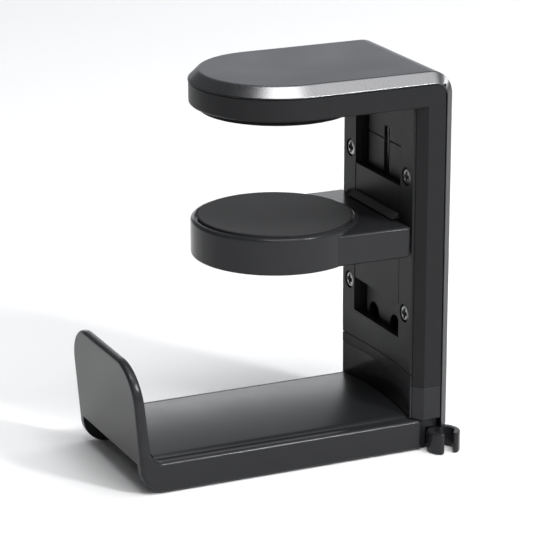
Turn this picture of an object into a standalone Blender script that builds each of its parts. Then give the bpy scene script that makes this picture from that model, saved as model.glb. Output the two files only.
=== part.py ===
"""Headphone hook with a sprung under-desk clamp, a swivelling saddle and a cable clip.

Metres, +Z up. The hook's swivel axis is the Z axis and the underside of the tray is z = 0.
The clamp opens towards -X, the metal back is at +X, and y = 0 is the plane of symmetry.
Sizes below are in millimetres and are turned to metres where a shape is made.
"""

import math

import bmesh
import bpy
from mathutils import Matrix, Vector

MM = 0.001
GAP = 0.3  # clearance between neighbouring solids

# Overall
TOTAL_HEIGHT = 130.0
FRONT_X = -6.95  # face of the front panel
BACK_X = 6.95  # back of the metal cover
HALF_WIDTH = 29.0

# Metal cover, an L of top plate and back plate with a sloped edge all round
COVER_BEVEL = 3.3
COVER_LIP = 0.3
CORNER_RADIUS = 8.0
NOSE_X = -44.4  # centre of the round end of the upper jaw
COVER_POCKET = 2.0
COVER_POCKET_HALF = 17.5

# Moulded frame: upper jaw slab and column
FRAME_HALF = 28.8
FRAME_BACK = BACK_X - COVER_BEVEL - COVER_LIP - GAP
FRAME_TOP = TOTAL_HEIGHT - COVER_BEVEL - COVER_LIP - GAP
UPPER_JAW_Z = 118.7
SLAB_FILLET = 0.9
COLUMN_FRONT = -6.05
CHAMFER_X = 2.9
PANEL_HALF = 25.5
PANEL_RECESS_HALF = 25.8
PANEL_BACK = -4.65
SWIVEL_Z = 22.35  # middle of the seam between column and foot
SEAM = 0.3
COLLAR_TOP = 26.2
CHANNEL_HALF = 17.2
CHANNEL_DEEP_HALF = 14.0
CHANNEL_STEP_X = 1.5
CHANNEL_BACK = 3.85
CHANNEL_FLOOR = 34.0
CHANNEL_TOP = 124.3
GUIDE_BLOCK_BOTTOM = 119.4  # solid block behind the guide plate's top

# Window and scoop in the column's front
WINDOW_HALF = 16.7
WINDOW_FLOOR = 36.9
SCOOP_TOP = 36.5
SCOOP_FOOT = 10.9
SCOOP_DEPTH = 3.2
SCOOP_HALF = 26.4
PANEL_HEEL_TOP = 33.5
PANEL_HEEL_BACK = -3.9

# Round pads on the two jaws
PAD_RADIUS = 25.6
PAD_RECESS_RADIUS = 25.9
UPPER_PAD_BOTTOM = 116.8
PAD_THICKNESS = 2.8

# Lower jaw
JAW_X = -45.0
JAW_RADIUS = 27.9
JAW_BOTTOM = 67.6
JAW_RIM = 80.1
JAW_PAD_TOP = 80.8
JAW_PAD_THICKNESS = 1.6
ARM_TOP = 78.2
ARM_HALF = 25.6
ARM_ROOT = FRONT_X - GAP
BUMPER_HALF = 16.4
BUMPER_DEPTH = 2.65
BUMPER_TOP = 80.5

# Carriage that carries the lower jaw in the column
CARRIAGE_HALF = 16.4
CARRIAGE_BOTTOM = 48.65
CARRIAGE_TOP = 89.75
TONGUE_HALF = 1.65
TONGUE_BOTTOM = 62.0
TONGUE_TOP = 71.4
TONGUE_BACK = -2.4
SHOE_HALF = 12.4
SHOE_BOTTOM = 58.0
SHOE_TOP = 76.0
SHOE_FRONT = -2.1
SHOE_BACK = 3.5

# Guide plate, guide rods and springs
GUIDE_FRONT = -3.6
GUIDE_BACK = -2.4
GUIDE_HALF = 13.4
GUIDE_BOTTOM = 33.5
GUIDE_TOP = 125.2
GUIDE_SLOT_HALF = 1.95
GUIDE_SLOT_BOTTOM = 50.0
GUIDE_SLOT_TOP = 105.9
GUIDE_NOTCH_Y = 7.8
GUIDE_NOTCH_HALF = 3.7
GUIDE_NOTCH_TOP = 41.8
ROD_X = 0.75
ROD_Y = 7.6
ROD_RADIUS = 1.2
ROD_BOTTOM = 31.5
ROD_TOP = 123.0
SPRING_RADIUS = 2.3
SPRING_WIRE_RADIUS = 0.3
SPRING_TURNS = 12
SPRING_STEPS = 10  # points in one turn

# Screws
PANEL_SCREW_Y = 20.6
PANEL_SCREW_HEIGHTS = (46.7, 94.0)
COVER_SCREW_HEIGHT = 70.0
JAW_COVER_SCREW_X = (-60.0, -28.0)
ARM_SCREW_Y = 12.0
ARM_SCREW_HEIGHTS = (70.1, 75.1)
CARRIAGE_SCREW_HEIGHTS = (64.1, 69.3)
GUIDE_SCREW_Y = 11.2
GUIDE_SCREW_HEIGHT = 121.4
HOOK_SCREW_X = -1.5
HOOK_SCREW_Y = 15.0

# Swivel
BOLT_RADIUS = 1.5
BOLT_HEAD_RADIUS = 3.1
BOLT_HEAD_BOTTOM = 2.6
BOLT_HEAD_TOP = 5.0
NUT_BOTTOM = 30.5
NUT_TOP = 32.9
NUT_FLATS = 5.5
WASHER_RADIUS = 3.6

# Hook: foot, tray and end plate
FOOT_BOTTOM = 10.9
RIM_Z = 10.5
TRAY_HALF = 27.9
TRAY_END = -3.0
TRAY_END_RADIUS = 1.6
BASE_HALF = 26.6
RIM_WIDTH = 3.5
DECK_TOP = 9.3
DECK_BOTTOM = 7.6
END_X = -104.8  # outer face of the end plate at the rim's height
END_THICKNESS = 3.3
END_TOP = 43.5
END_LEAN = 0.09
END_CORNER_RADIUS = 13.5
HEEL_RADIUS = 9.0
INNER_FILLET = 5.0
SADDLE_EDGE = 11.3
SADDLE_CROWN = 13.3
FOOT_COVER_BOTTOM = 7.3

# Cable clip
CLIP_X = 3.55
CLIP_Y = -30.6
CLIP_RADIUS = 5.6
CLIP_BORE = 3.6
CLIP_HEIGHT = 7.0
CLIP_GAP = 3.4


# ---------------------------------------------------------------- helpers


def new_collection(name):
    collection = bpy.data.collections.new(name)
    bpy.context.scene.collection.children.link(collection)
    return collection


def into(obj, collection):
    """Puts an object in one collection only."""
    for other in list(obj.users_collection):
        other.objects.unlink(obj)
    collection.objects.link(obj)
    return obj


def apply_scale(obj):
    scale = Matrix.Diagonal(obj.scale).to_4x4()
    obj.data.transform(scale)
    obj.scale = (1.0, 1.0, 1.0)
    return obj


def bake(obj):
    """Moves an object's transform into its mesh."""
    bpy.context.view_layer.update()
    obj.data.transform(obj.matrix_world)
    obj.matrix_world = Matrix.Identity(4)
    return obj


def box(name, x, y, z):
    """A box from three (low, high) ranges in millimetres."""
    spans = [Vector((low, high)) for low, high in (x, y, z)]
    centre = [sum(span) / 2 * MM for span in spans]
    bpy.ops.mesh.primitive_cube_add(size=1.0, location=centre)
    obj = bpy.context.object
    obj.name = name
    obj.scale = [(span[1] - span[0]) * MM for span in spans]
    return apply_scale(obj)


AXIS_TURNS = {"X": (0, math.pi / 2, 0), "Y": (-math.pi / 2, 0, 0), "Z": (0, 0, 0)}


def cylinder(name, radius, start, length, axis="Z", sides=32, end_radius=None):
    """A cylinder or cone from a start point, running along +axis."""
    step = {"X": Vector((1, 0, 0)), "Y": Vector((0, 1, 0)), "Z": Vector((0, 0, 1))}[axis]
    centre = (Vector(start) + step * (length / 2)) * MM
    far = radius if end_radius is None else end_radius
    bpy.ops.mesh.primitive_cone_add(
        vertices=sides,
        radius1=radius * MM,
        radius2=far * MM,
        depth=length * MM,
        location=centre,
        rotation=AXIS_TURNS[axis],
    )
    obj = bpy.context.object
    obj.name = name
    return obj


PLANE_TURNS = {
    "XY": (0, 0, 0),
    "XZ": (math.pi / 2, 0, 0),
    "YZ": (math.pi / 2, 0, math.pi / 2),
}


def prism(name, points, low, high, plane="XY"):
    """A flat outline in a plane, made solid between two heights along the plane's normal."""
    curve = bpy.data.curves.new(name, "CURVE")
    curve.dimensions = "2D"
    curve.fill_mode = "BOTH"
    curve.extrude = (high - low) / 2 * MM
    spline = curve.splines.new("POLY")
    spline.points.add(len(points) - 1)
    for slot, (u, v) in zip(spline.points, points):
        slot.co = (u * MM, v * MM, 0, 1)
    spline.use_cyclic_u = True
    guide = bpy.data.objects.new(name, curve)
    bpy.context.scene.collection.objects.link(guide)
    middle = (low + high) / 2 * MM
    guide.rotation_euler = PLANE_TURNS[plane]
    guide.location = {"XY": (0, 0, middle), "XZ": (0, middle, 0), "YZ": (middle, 0, 0)}[plane]
    return to_mesh(guide)


def to_mesh(curve_object):
    """Turns a curve object into a mesh object with its caps welded."""
    bpy.context.view_layer.update()
    evaluated = curve_object.evaluated_get(bpy.context.evaluated_depsgraph_get())
    mesh = bpy.data.meshes.new_from_object(evaluated)
    work = bmesh.new()
    work.from_mesh(mesh)
    bmesh.ops.remove_doubles(work, verts=work.verts, dist=1e-6)
    bmesh.ops.recalc_face_normals(work, faces=work.faces)
    work.to_mesh(mesh)
    work.free()
    name = curve_object.name
    obj = bpy.data.objects.new(name, mesh)
    bpy.context.scene.collection.objects.link(obj)
    obj.matrix_world = curve_object.matrix_world.copy()
    bpy.data.objects.remove(curve_object)
    obj.name = name
    return bake(obj)


def arc(centre, radius, start, end, count):
    """Points along an arc, angles in degrees, both ends included."""
    points = []
    for i in range(count + 1):
        angle = math.radians(start + (end - start) * i / count)
        points.append((centre[0] + radius * math.cos(angle), centre[1] + radius * math.sin(angle)))
    return points


def combine(obj, other, operation):
    """Adds a Boolean modifier; the other shape becomes a hidden tool."""
    modifier = obj.modifiers.new(f"{operation} {other.name}", "BOOLEAN")
    modifier.operation = operation
    modifier.solver = "EXACT"
    modifier.object = other
    other.hide_render = True
    other.display_type = "WIRE"
    into(other, tools)


def cut(obj, *others):
    for other in others:
        combine(obj, other, "DIFFERENCE")


def add(obj, *others):
    for other in others:
        combine(obj, other, "UNION")


def soften_edges(obj, chosen, width, segments):
    """Rounds the edges that a test on their end points picks."""
    work = bmesh.new()
    work.from_mesh(obj.data)
    edges = [edge for edge in work.edges if all(chosen(vert.co / MM) for vert in edge.verts)]
    bmesh.ops.bevel(work, geom=edges, offset=width * MM, segments=segments, profile=0.5, affect="EDGES")
    work.to_mesh(obj.data)
    work.free()


def smooth(obj, angle=30):
    obj.data.shade_smooth()
    obj.data.set_sharp_from_angle(angle=math.radians(angle))


def material(name, colour, roughness, metallic=0.0):
    made = bpy.data.materials.new(name)
    made.use_nodes = True
    shader = made.node_tree.nodes["Principled BSDF"]
    shader.inputs["Base Color"].default_value = (*colour, 1.0)
    shader.inputs["Roughness"].default_value = roughness
    shader.inputs["Metallic"].default_value = metallic
    return made


def finish(obj, made, parent=None):
    """Gives a part its material, its collection and, if it moves, its parent on the joint's axis."""
    obj.data.materials.clear()
    obj.data.materials.append(made)
    into(obj, parts)
    if parent is not None:
        obj.parent = parent
        obj.matrix_parent_inverse = parent.matrix_world.inverted()
    return obj


def joint_empty(name, height):
    empty = bpy.data.objects.new(name, None)
    empty.location = (0, 0, height * MM)
    parts.objects.link(empty)
    bpy.context.view_layer.update()
    return empty


# ---------------------------------------------------------------- shared shapes


def d_outline(radius, nose_x, back_x, count=36):
    """Plan of a jaw: straight sides and a round nose towards -X."""
    return [(back_x, -radius), *arc((nose_x, 0), radius, 270, 90, count), (back_x, radius)]


def column_outline():
    """Plan of the column: a raised face, chamfered front corners and a flat back."""
    side = COLUMN_FRONT + CHAMFER_X
    half = [
        (FRAME_BACK, FRAME_HALF),
        (side, FRAME_HALF),
        (COLUMN_FRONT, PANEL_RECESS_HALF),
        (COLUMN_FRONT, PANEL_HALF),
        (FRONT_X, PANEL_HALF),
    ]
    return half + [(x, -y) for x, y in reversed(half)]


def scoop_depth(y, z):
    """How far the front is hollowed towards the column's foot."""
    across = 1 - (y / SCOOP_HALF) ** 2
    height = min(max((z - SCOOP_FOOT) / (SCOOP_TOP - SCOOP_FOOT), 0.0), 1.0)
    return SCOOP_DEPTH * across * (1 - height**1.5)


def scoop_tool(name, low, high, rows):
    """A cutter whose back is the hollow's surface, made from a bent grid with thickness."""
    columns = 14
    work = bmesh.new()
    bmesh.ops.create_grid(work, x_segments=columns, y_segments=rows, size=0.5)
    for vert in work.verts:
        y = -vert.co.x * 2 * (SCOOP_HALF - 0.3)
        z = low + (vert.co.y + 0.5) * (high - low)
        vert.co = Vector((FRONT_X + scoop_depth(y, z) - 0.03, y, z)) * MM
    mesh = bpy.data.meshes.new(name)
    work.to_mesh(mesh)
    work.free()
    obj = bpy.data.objects.new(name, mesh)
    bpy.context.scene.collection.objects.link(obj)
    depth = 5.0
    solid = bmesh.new()
    solid.from_mesh(mesh)
    grown = bmesh.ops.extrude_face_region(solid, geom=solid.faces[:])
    for item in grown["geom"]:
        if isinstance(item, bmesh.types.BMVert):
            item.co.x = (FRONT_X - depth) * MM
    bmesh.ops.recalc_face_normals(solid, faces=solid.faces)
    solid.to_mesh(mesh)
    solid.free()
    return obj


def screw(name, shank_radius, head_radius, head_length, tip_length, start, axis, cross=False, cone=False):
    """One screw: head first along +axis, shank after it, with an optional cross recess."""
    step = {"X": Vector((1, 0, 0)), "Z": Vector((0, 0, 1))}[axis]
    head_end = shank_radius if cone else head_radius
    head = cylinder(name, head_radius, start, head_length, axis, 24, head_end)
    shank_start = Vector(start) + step * (head_length - 0.2)
    add(head, cylinder(f"{name} shank", shank_radius, shank_start, tip_length, axis, 16))
    if cross:
        depth = head_length * 0.6
        wide, thin = head_radius * 0.62, head_radius * 0.17
        x, y, z = start
        for number, (u, v) in enumerate(((wide, thin), (thin, wide))):
            if axis == "X":
                slot = box(f"{name} slot {number}", (x - 1, x + depth), (y - u, y + u), (z - v, z + v))
            else:
                slot = box(f"{name} slot {number}", (x - u, x + u), (y - v, y + v), (z - 1, z + depth))
            cut(head, slot)
    return head


def screw_places(heights):
    """A number, a side and a height for each screw of a mirrored group."""
    places = [(side, height) for side in (-1, 1) for height in heights]
    return [(number, side, height) for number, (side, height) in enumerate(places, 1)]


# ---------------------------------------------------------------- metal covers


def cover_path(bottom):
    """Half of the cover's rim, from the foot of the back to the tip of the nose.

    Each station holds the lip, the rim and the bevel's inner edge as (x, y, z), all with y >= 0.
    """
    outer, inner = HALF_WIDTH, HALF_WIDTH - COVER_BEVEL
    deep = COVER_BEVEL + COVER_LIP
    stations = []

    def across(normal_x, normal_z, edge_x, edge_z):
        lip = (edge_x - normal_x * deep, outer, edge_z - normal_z * deep)
        rim = (edge_x - normal_x * COVER_BEVEL, outer, edge_z - normal_z * COVER_BEVEL)
        stations.append((lip, rim, (edge_x, inner, edge_z)))

    across(1, 0, BACK_X, bottom)
    if bottom > SWIVEL_Z:
        centre_x, centre_z = BACK_X - CORNER_RADIUS, TOTAL_HEIGHT - CORNER_RADIUS
        corner_steps = 8
        for i in range(corner_steps + 1):
            turn = math.radians(90 * i / corner_steps)
            nx, nz = math.cos(turn), math.sin(turn)
            across(nx, nz, centre_x + CORNER_RADIUS * nx, centre_z + CORNER_RADIUS * nz)
        nose_steps = 18
        for i in range(nose_steps + 1):
            turn = math.radians(90 + 90 * i / nose_steps)
            cx, sy = math.cos(turn), max(math.sin(turn), 0.0)
            low, mid = TOTAL_HEIGHT - deep, TOTAL_HEIGHT - COVER_BEVEL
            stations.append(
                (
                    (NOSE_X + outer * cx, outer * sy, low),
                    (NOSE_X + outer * cx, outer * sy, mid),
                    (NOSE_X + inner * cx, inner * sy, TOTAL_HEIGHT),
                )
            )
    else:
        across(1, 0, BACK_X, SWIVEL_Z - SEAM / 2)
    return stations


def cover_shell(name, bottom):
    """Lofts the cover across its width, station by station."""
    work = bmesh.new()
    rings = []
    for station in cover_path(bottom):
        left = [Vector(point) * MM for point in station]
        right = [Vector((x, -y, z)) * MM for x, y, z in reversed(station)]
        rings.append([work.verts.new(point) for point in left + right])
    for first, second in zip(rings, rings[1:]):
        for i in range(6):
            work.faces.new((first[i], first[(i + 1) % 6], second[(i + 1) % 6], second[i]))
    work.faces.new(rings[0])
    work.faces.new(rings[-1])
    bmesh.ops.remove_doubles(work, verts=work.verts, dist=1e-6)
    bmesh.ops.dissolve_degenerate(work, edges=work.edges, dist=1e-6)
    bmesh.ops.recalc_face_normals(work, faces=work.faces)
    mesh = bpy.data.meshes.new(name)
    work.to_mesh(mesh)
    work.free()
    obj = bpy.data.objects.new(name, mesh)
    bpy.context.scene.collection.objects.link(obj)
    return obj


def build_top_back_cover():
    cover = cover_shell("top_back_cover", SWIVEL_Z + SEAM / 2 + 0.2)
    inside = BACK_X - COVER_BEVEL - COVER_LIP
    pocket = box("cover pocket", (inside - 1, inside + COVER_POCKET), (-COVER_POCKET_HALF, COVER_POCKET_HALF), (25, 121))
    cut(cover, pocket)
    for x in JAW_COVER_SCREW_X:
        cut(cover, cylinder(f"cover hole {x}", 1.3, (x, 0, 124), 4.3, "Z", 16))
    for side in (-1, 1):
        start = (inside - 1, side * PANEL_SCREW_Y, COVER_SCREW_HEIGHT)
        cut(cover, cylinder(f"cover back hole {side}", 1.3, start, 3.6, "X", 16))
    smooth(cover)
    return finish(cover, ALUMINIUM)


def build_foot_back_cover():
    cover = cover_shell("foot_back_cover", FOOT_COVER_BOTTOM)
    inside = BACK_X - COVER_BEVEL - COVER_LIP
    width = (-COVER_POCKET_HALF, COVER_POCKET_HALF)
    cut(cover, box("foot cover pocket", (inside - 1, inside + COVER_POCKET), width, (11.2, SWIVEL_Z + 1)))
    return finish(cover, ALUMINIUM, hook_swivel)


# ---------------------------------------------------------------- frame and panel


def build_frame_body():
    slab = prism("frame_body", d_outline(FRAME_HALF, NOSE_X, FRAME_BACK), UPPER_JAW_Z, FRAME_TOP)
    soften_edges(slab, lambda p: p.z < UPPER_JAW_Z + 0.1 and p.x < FRAME_BACK - 0.1, SLAB_FILLET, 2)
    inner_corner = CORNER_RADIUS - COVER_BEVEL - COVER_LIP
    soften_edges(slab, lambda p: p.z > FRAME_TOP - 0.1 and p.x > FRAME_BACK - 0.1, inner_corner, 6)
    column_bottom = SWIVEL_Z + SEAM / 2
    add(slab, prism("column", column_outline(), column_bottom, UPPER_JAW_Z + 2))
    pad_half = COVER_POCKET_HALF - 0.4
    add(slab, box("back pad", (FRAME_BACK - 1, FRAME_BACK + COVER_POCKET), (-pad_half, pad_half), (25.4, 120.6)))
    recess_floor = PANEL_BACK + GAP
    half = PANEL_RECESS_HALF - 0.05
    cut(slab, box("panel recess", (FRONT_X - 1, recess_floor), (-half, half), (COLLAR_TOP - 0.1, UPPER_JAW_Z)))
    heel = box("heel recess", (FRONT_X, PANEL_HEEL_BACK + GAP), (-23.3, 23.3), (COLLAR_TOP - 0.1, CHANNEL_FLOOR))
    cut(slab, heel)
    wide, narrow = (-CHANNEL_HALF, CHANNEL_HALF), (-CHANNEL_DEEP_HALF, CHANNEL_DEEP_HALF)
    low_part = (CHANNEL_FLOOR, GUIDE_BLOCK_BOTTOM)
    cut(slab, box("front channel", (FRONT_X - 0.4, GUIDE_BACK + GAP), wide, (CHANNEL_FLOOR, CHANNEL_TOP)))
    cut(slab, box("channel", (GUIDE_FRONT, CHANNEL_STEP_X), wide, low_part))
    cut(slab, box("deep channel", (0, CHANNEL_BACK), narrow, low_part))
    cut(slab, cylinder("upper pad recess", PAD_RECESS_RADIUS, (NOSE_X, 0, 117), 2.9, "Z", 64))
    for side in (-1, 1):
        for height in PANEL_SCREW_HEIGHTS:
            start = (recess_floor - 1, side * PANEL_SCREW_Y, height)
            cut(slab, cylinder(f"pilot {side} {height}", 1.25, start, 6, "X", 16))
        start = (recess_floor - 1, side * PANEL_SCREW_Y, COVER_SCREW_HEIGHT)
        cut(slab, cylinder(f"cover way {side}", 1.5, start, 10, "X", 16))
        cut(slab, cylinder(f"cover head {side}", 2.7, start, 3.2, "X", 24))
        cut(slab, cylinder(f"rod hole {side}", 1.45, (ROD_X, side * ROD_Y, ROD_BOTTOM - GAP), ROD_TOP - ROD_BOTTOM + 2 * GAP, "Z", 24))
        start = (GUIDE_BACK, side * GUIDE_SCREW_Y, GUIDE_SCREW_HEIGHT)
        cut(slab, cylinder(f"guide pilot {side}", 1.05, start, 3.6, "X", 16))
    guide_slot = (GUIDE_FRONT - GAP, GUIDE_BACK + GAP)
    slot_half = GUIDE_HALF + GAP
    cut(slab, box("guide slot", guide_slot, (-slot_half, slot_half), (GUIDE_BOTTOM - GAP, GUIDE_TOP + GAP)))
    for x in JAW_COVER_SCREW_X:
        cut(slab, cylinder(f"jaw screw way {x}", 1.5, (x, 0, 119), 8, "Z", 16))
        cut(slab, cylinder(f"jaw screw head {x}", 2.9, (x, 0, 119), 2.9, "Z", 24))
    cut(slab, cylinder("bolt way", BOLT_RADIUS + 0.25, (0, 0, 21), 12, "Z", 24))
    nut_side = NUT_FLATS / 2 + 0.3
    nut_front = PANEL_HEEL_BACK
    cut(slab, box("nut pocket", (nut_front, nut_side), (-nut_side - 0.5, nut_side + 0.5), (30.2, CHANNEL_FLOOR + 0.5)))
    cut(slab, scoop_tool("collar scoop", column_bottom - 1, COLLAR_TOP + 1, 6))
    return finish(slab, BLACK_PLASTIC)


def build_front_panel():
    width = (-PANEL_HALF, PANEL_HALF)
    panel = box("front_panel", (FRONT_X, PANEL_BACK), width, (COLLAR_TOP + 0.2, UPPER_JAW_Z - GAP))
    add(panel, box("panel heel", (FRONT_X + 1, PANEL_HEEL_BACK), (-23, 23), (COLLAR_TOP + 0.2, PANEL_HEEL_TOP)))
    window = (-WINDOW_HALF, WINDOW_HALF)
    cut(panel, box("window", (FRONT_X - 1, PANEL_BACK + 1), window, (WINDOW_FLOOR, UPPER_JAW_Z + 1)))
    for side in (-1, 1):
        for height in PANEL_SCREW_HEIGHTS:
            at = (FRONT_X - 1, side * PANEL_SCREW_Y, height)
            cut(panel, cylinder(f"counterbore {side} {height}", 3.1, at, 2.5, "X", 32))
            cut(panel, cylinder(f"screw way {side} {height}", 1.6, at, 5, "X", 16))
    cut(panel, scoop_tool("panel scoop", COLLAR_TOP - 1, SCOOP_TOP, 8))
    return finish(panel, SATIN_BLACK)


def build_upper_jaw_pad():
    pad = cylinder("upper_jaw_pad", PAD_RADIUS, (NOSE_X, 0, UPPER_PAD_BOTTOM), PAD_THICKNESS, "Z", 64)
    smooth(pad)
    return finish(bake(pad), RUBBER)


def build_panel_screws():
    for number, side, height in screw_places(PANEL_SCREW_HEIGHTS):
        start = (FRONT_X + 0.15, side * PANEL_SCREW_Y, height)
        finish(screw(f"panel_screw_{number}", 1.0, 2.8, 1.15, 5.2, start, "X", cross=True), STEEL)


def build_cover_screws():
    for number, side, height in screw_places((COVER_SCREW_HEIGHT,)):
        start = (-4.0, side * PANEL_SCREW_Y, height)
        finish(screw(f"back_cover_screw_{number}", 1.1, 2.4, 1.3, 8.0, start, "X", cross=True), STEEL)
    for number, x in enumerate(JAW_COVER_SCREW_X, 1):
        finish(screw(f"upper_jaw_screw_{number}", 1.1, 2.6, 1.4, 6.4, (x, 0, 120.2), "Z", cross=True), STEEL)


# ---------------------------------------------------------------- guide and springs


def notch_outline(centre):
    low, crown = GUIDE_BOTTOM - 1, GUIDE_NOTCH_TOP - GUIDE_NOTCH_HALF
    left, right = centre - GUIDE_NOTCH_HALF, centre + GUIDE_NOTCH_HALF
    return [(left, low), (right, low), *arc((centre, crown), GUIDE_NOTCH_HALF, 0, 180, 12)]


def build_guide_plate():
    half = (-GUIDE_HALF, GUIDE_HALF)
    plate = box("guide_plate", (GUIDE_FRONT, GUIDE_BACK), half, (GUIDE_BOTTOM, GUIDE_TOP))
    through = (GUIDE_FRONT - 1, GUIDE_BACK + 1)
    slot = (-GUIDE_SLOT_HALF, GUIDE_SLOT_HALF)
    cut(plate, box("tongue slot", through, slot, (GUIDE_SLOT_BOTTOM, GUIDE_SLOT_TOP)))
    cut(plate, box("stop groove", (GUIDE_FRONT - 1, GUIDE_FRONT + 0.4), (-14, 14), (101.1, 101.7)))
    for side in (-1, 1):
        cut(plate, prism(f"spring notch {side}", notch_outline(side * GUIDE_NOTCH_Y), *through, "YZ"))
        at = (GUIDE_FRONT - 0.2, side * GUIDE_SCREW_Y, GUIDE_SCREW_HEIGHT)
        cut(plate, cylinder(f"guide screw seat {side}", 2.3, at, 1.1, "X", 24, 1.3))
        cut(plate, cylinder(f"guide screw way {side}", 1.2, at, 3, "X", 16))
    return finish(plate, DARK_STEEL)


def build_guide_screws():
    for number, side, height in screw_places((GUIDE_SCREW_HEIGHT,)):
        start = (GUIDE_FRONT + 0.1, side * GUIDE_SCREW_Y, height)
        finish(screw(f"guide_plate_screw_{number}", 0.85, 1.7, 0.8, 4.0, start, "X", cone=True), STEEL)


def build_guide_rod(name, side):
    start = (ROD_X, side * ROD_Y, ROD_BOTTOM)
    rod = cylinder(name, ROD_RADIUS, start, ROD_TOP - ROD_BOTTOM, "Z", 20)
    return finish(rod, STEEL)


def build_spring(name, side):
    """A compression spring on a guide rod, from the column's floor to the shoe."""
    low = CHANNEL_FLOOR + GAP + SPRING_WIRE_RADIUS
    high = SHOE_BOTTOM - GAP - SPRING_WIRE_RADIUS
    curve = bpy.data.curves.new(name, "CURVE")
    curve.dimensions = "3D"
    curve.bevel_depth = SPRING_WIRE_RADIUS * MM
    curve.bevel_resolution = 2
    curve.use_fill_caps = True
    count = SPRING_TURNS * SPRING_STEPS
    spline = curve.splines.new("POLY")
    spline.points.add(count)
    for i, slot in enumerate(spline.points):
        turn = 2 * math.pi * i / SPRING_STEPS
        x = ROD_X + SPRING_RADIUS * math.cos(turn)
        y = side * (ROD_Y + SPRING_RADIUS * math.sin(turn))
        z = low + (high - low) * i / count
        slot.co = (x * MM, y * MM, z * MM, 1)
    obj = bpy.data.objects.new(name, curve)
    bpy.context.scene.collection.objects.link(obj)
    return finish(obj, DARK_STEEL)


# ---------------------------------------------------------------- lower jaw


def build_jaw_arm():
    jaw = cylinder("jaw_arm", JAW_RADIUS, (JAW_X, 0, JAW_BOTTOM), JAW_RIM - JAW_BOTTOM, "Z", 72)
    bake(jaw)
    soften_edges(jaw, lambda p: p.z > JAW_RIM - 0.1, 0.9, 2)
    add(jaw, box("arm", (JAW_X, ARM_ROOT), (-ARM_HALF, ARM_HALF), (JAW_BOTTOM, ARM_TOP)))
    recess_floor = JAW_PAD_TOP - JAW_PAD_THICKNESS - GAP
    cut(jaw, cylinder("lower pad recess", PAD_RECESS_RADIUS, (JAW_X, 0, recess_floor), 5, "Z", 64))
    for side in (-1, 1):
        for height in ARM_SCREW_HEIGHTS:
            at = (ARM_ROOT - 7.5, side * ARM_SCREW_Y, height)
            cut(jaw, cylinder(f"arm pilot {side} {height}", 1.35, at, 9, "X", 16))
    return finish(jaw, SATIN_BLACK, jaw_slide)


def build_jaw_pad():
    bottom = JAW_PAD_TOP - JAW_PAD_THICKNESS
    pad = bake(cylinder("jaw_pad", PAD_RADIUS, (JAW_X, 0, bottom), JAW_PAD_THICKNESS, "Z", 64))
    smooth(pad)
    return finish(pad, RUBBER, jaw_slide)


def build_edge_bumper():
    """A wedge along the arm's root, sloping up to the column."""
    front, low = ARM_ROOT - BUMPER_DEPTH, ARM_TOP + 0.25
    profile = [
        (front, low),
        (ARM_ROOT, low),
        (ARM_ROOT, BUMPER_TOP),
        (ARM_ROOT - 0.5, BUMPER_TOP),
        (front, low + 0.35),
    ]
    bumper = prism("desk_edge_bumper", profile, -BUMPER_HALF, BUMPER_HALF, "XZ")
    return finish(bumper, RUBBER, jaw_slide)


def build_carriage_plate():
    width = (-CARRIAGE_HALF, CARRIAGE_HALF)
    plate = box("carriage_plate", (FRONT_X + 0.05, PANEL_BACK), width, (CARRIAGE_BOTTOM, CARRIAGE_TOP))
    tongue = (-TONGUE_HALF, TONGUE_HALF)
    add(plate, box("tongue", (PANEL_BACK - 1, TONGUE_BACK), tongue, (TONGUE_BOTTOM, TONGUE_TOP)))
    for height in CARRIAGE_SCREW_HEIGHTS:
        cut(plate, cylinder(f"tongue pilot {height}", 1.1, (-5.9, 0, height), 4, "X", 16))
    for side in (-1, 1):
        for height in ARM_SCREW_HEIGHTS:
            at = (FRONT_X - 1, side * ARM_SCREW_Y, height)
            cut(plate, cylinder(f"arm way {side} {height}", 1.35, at, 5, "X", 16))
            seat = (PANEL_BACK - 1.4, side * ARM_SCREW_Y, height)
            cut(plate, cylinder(f"arm seat {side} {height}", 2.4, seat, 2.4, "X", 24))
    return finish(plate, BLACK_PLASTIC, jaw_slide)


def build_slider_shoe():
    width = (-SHOE_HALF, SHOE_HALF)
    shoe = box("slider_shoe", (SHOE_FRONT, SHOE_BACK), width, (SHOE_BOTTOM, SHOE_TOP))
    for side in (-1, 1):
        at = (ROD_X, side * ROD_Y, SHOE_BOTTOM - 1)
        cut(shoe, cylinder(f"rod way {side}", ROD_RADIUS + GAP, at, 20, "Z", 24))
    for height in CARRIAGE_SCREW_HEIGHTS:
        cut(shoe, cylinder(f"shoe way {height}", 1.25, (SHOE_FRONT - 1, 0, height), 8, "X", 16))
        cut(shoe, cylinder(f"shoe seat {height}", 2.2, (1.2, 0, height), 4, "X", 24))
    return finish(shoe, BLACK_PLASTIC, jaw_slide)


def build_carriage_screws():
    """Two screws from behind, through the shoe and into the tongue."""
    for number, height in enumerate(CARRIAGE_SCREW_HEIGHTS, 1):
        head = cylinder(f"carriage_screw_{number}", 1.9, (1.5, 0, height), 1.5, "X", 24)
        add(head, cylinder(f"carriage shank {height}", 0.9, (-5.6, 0, height), 7.4, "X", 16))
        finish(head, STEEL, jaw_slide)


def build_arm_screws():
    """Four screws from behind the carriage plate into the jaw's arm."""
    for number, side, height in screw_places(ARM_SCREW_HEIGHTS):
        at = (PANEL_BACK - 1.1, side * ARM_SCREW_Y, height)
        head = cylinder(f"arm_screw_{number}", 2.1, at, 1.1, "X", 24)
        tip = (ARM_ROOT - 7.2, side * ARM_SCREW_Y, height)
        add(head, cylinder(f"arm shank {side} {height}", 1.05, tip, 9.2, "X", 16))
        finish(head, STEEL, jaw_slide)


# ---------------------------------------------------------------- swivel


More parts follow.
